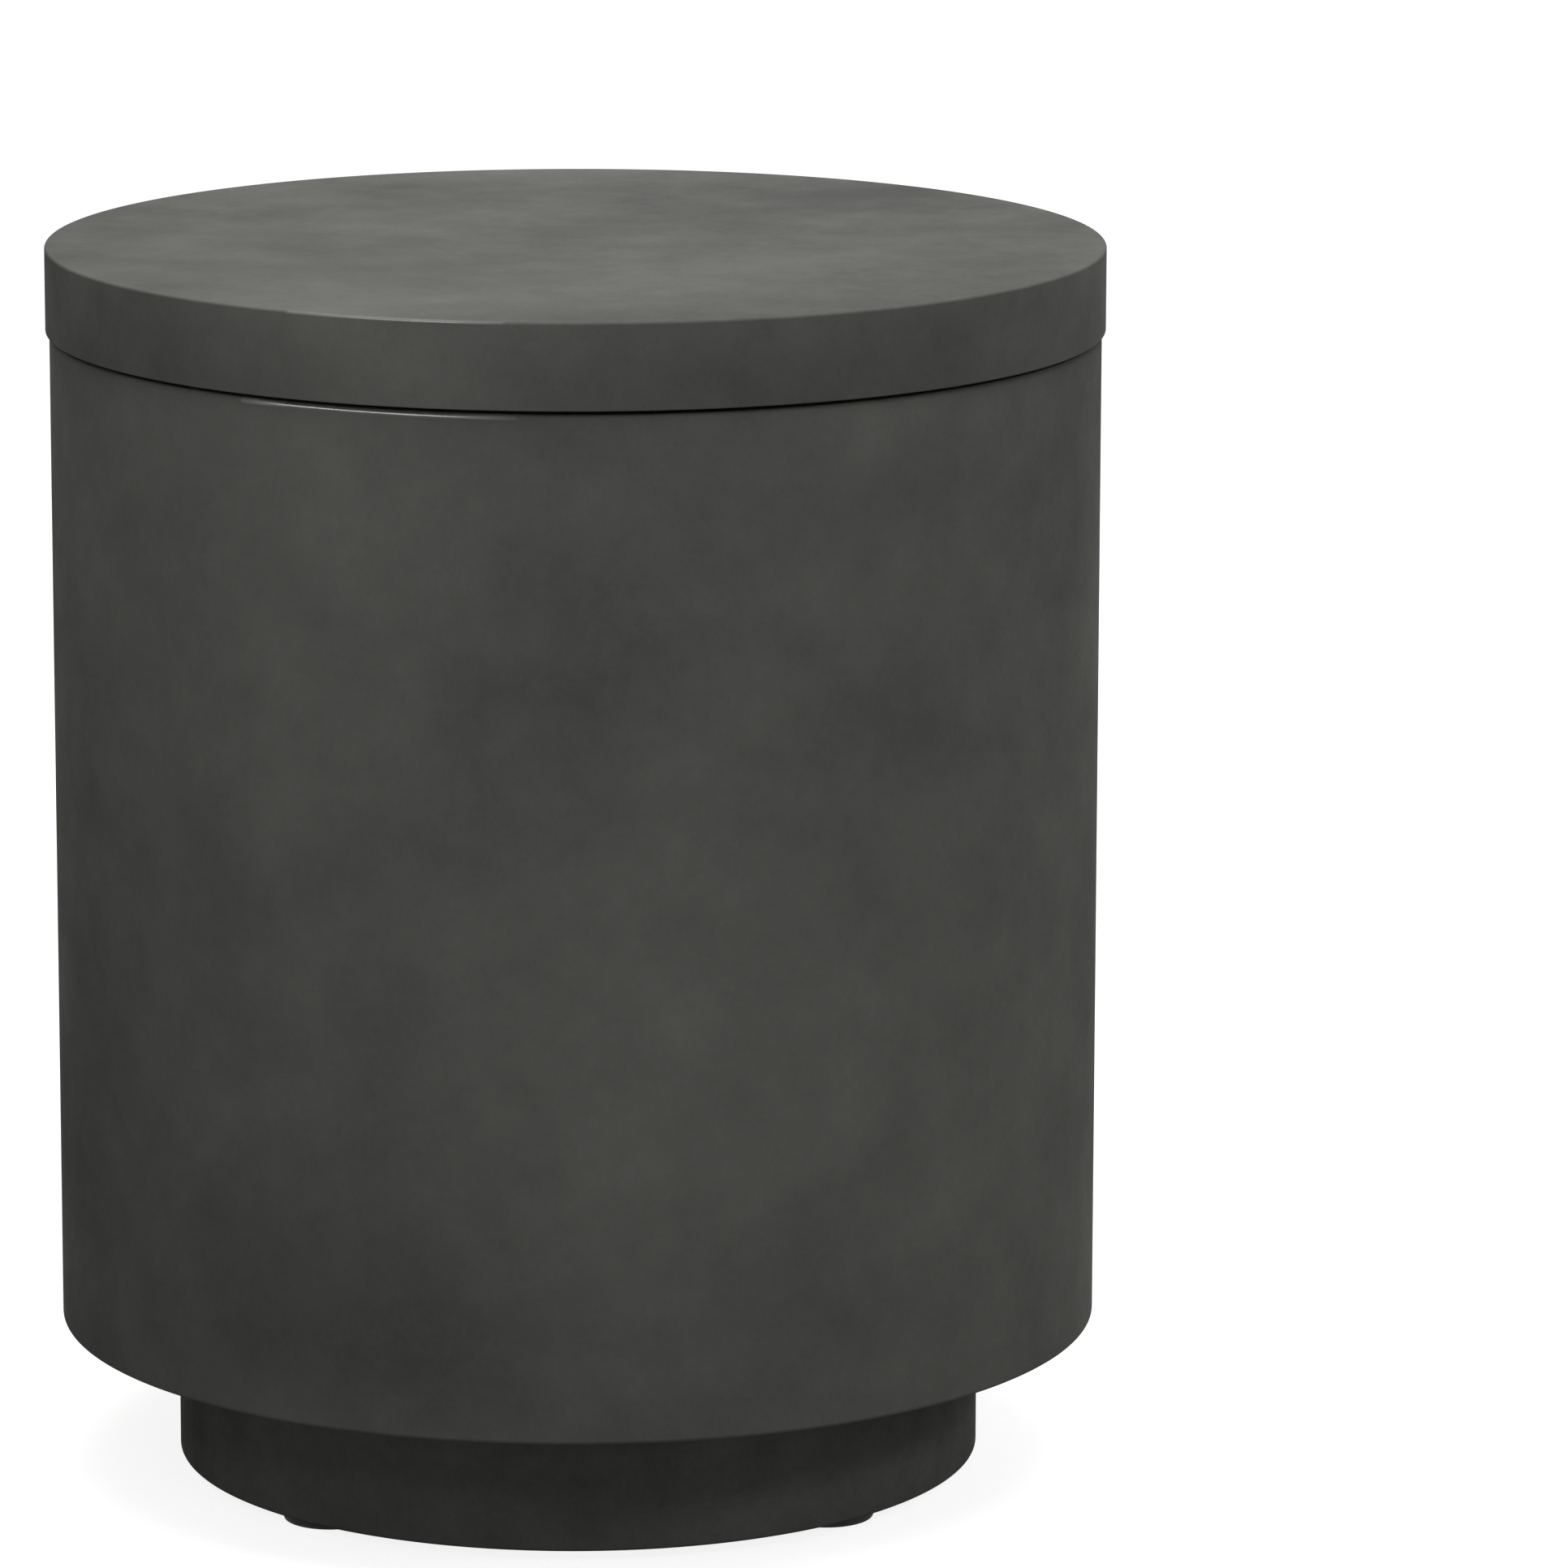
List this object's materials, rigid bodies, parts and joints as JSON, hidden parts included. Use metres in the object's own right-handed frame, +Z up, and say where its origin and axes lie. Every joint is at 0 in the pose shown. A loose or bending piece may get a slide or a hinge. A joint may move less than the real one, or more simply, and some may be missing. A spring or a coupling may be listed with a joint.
{
  "type": "side table with ice bucket",
  "caption": "Round cast concrete side table on a recessed plinth, with a lift-off lid over a removable steel ice bucket that hangs on an inner shoulder and has a folding wire bail.",
  "frame": {"origin": "on the floor under the middle of the table", "axes": "+Z up; the bucket's bail turns about X; the picture's camera is on the -Y side"},
  "size_m": [0.4, 0.4, 0.472],
  "materials": {
    "cast_concrete": "smooth cast fibre concrete, dark grey, cloudy",
    "plinth_concrete": "smooth cast fibre concrete, darker grey",
    "bucket_steel": "spun stainless steel",
    "ear_steel": "pressed stainless steel",
    "bail_wire": "drawn steel wire",
    "zinc_steel": "zinc plated",
    "insert_brass": "turned brass",
    "anchor_nylon": "moulded nylon",
    "foot_rubber": "moulded black rubber",
    "bumper_rubber": "moulded black rubber"
  },
  "bodies": {
    "table": {"table_body": "cast_concrete", "plinth": "plinth_concrete", "plinth_bolts": "zinc_steel", "plinth_washers": "zinc_steel", "plinth_inserts": "insert_brass", "foot_rear_right": "foot_rubber", "foot_rear_left": "foot_rubber", "foot_front_left": "foot_rubber", "foot_front_right": "foot_rubber", "foot_screws": "zinc_steel", "foot_anchors": "anchor_nylon"},
    "bucket": {"bucket_wall": "bucket_steel", "bucket_base": "bucket_steel", "bucket_ear_right": "ear_steel", "bucket_ear_left": "ear_steel", "ear_rivets_right": "ear_steel", "ear_rivets_left": "ear_steel"},
    "bail": {"bail": "bail_wire"},
    "lid": {"lid": "cast_concrete", "lid_bumper_1": "bumper_rubber", "lid_bumper_2": "bumper_rubber", "lid_bumper_3": "bumper_rubber", "lid_bumper_4": "bumper_rubber"}
  },
  "joints": [
    {"name": "bucket_lift", "type": "slide", "parent": "table", "child": "bucket", "axis": [0, 0, 1], "range_m": [0, 0.28]},
    {"name": "lid_lift", "type": "slide", "parent": "bucket", "child": "lid", "axis": [0, 0, 1], "range_m": [0, 0.3]},
    {"name": "bail_swing", "type": "hinge", "parent": "bucket", "child": "bail", "pos_m": [0, 0, 0.418], "axis": [1, 0, 0], "range_deg": [0, 180]}
  ],
  "couplings": [
    {"joint": "bail_swing", "follows": "lid_lift", "rad_per_m": 5.235}
  ]
}
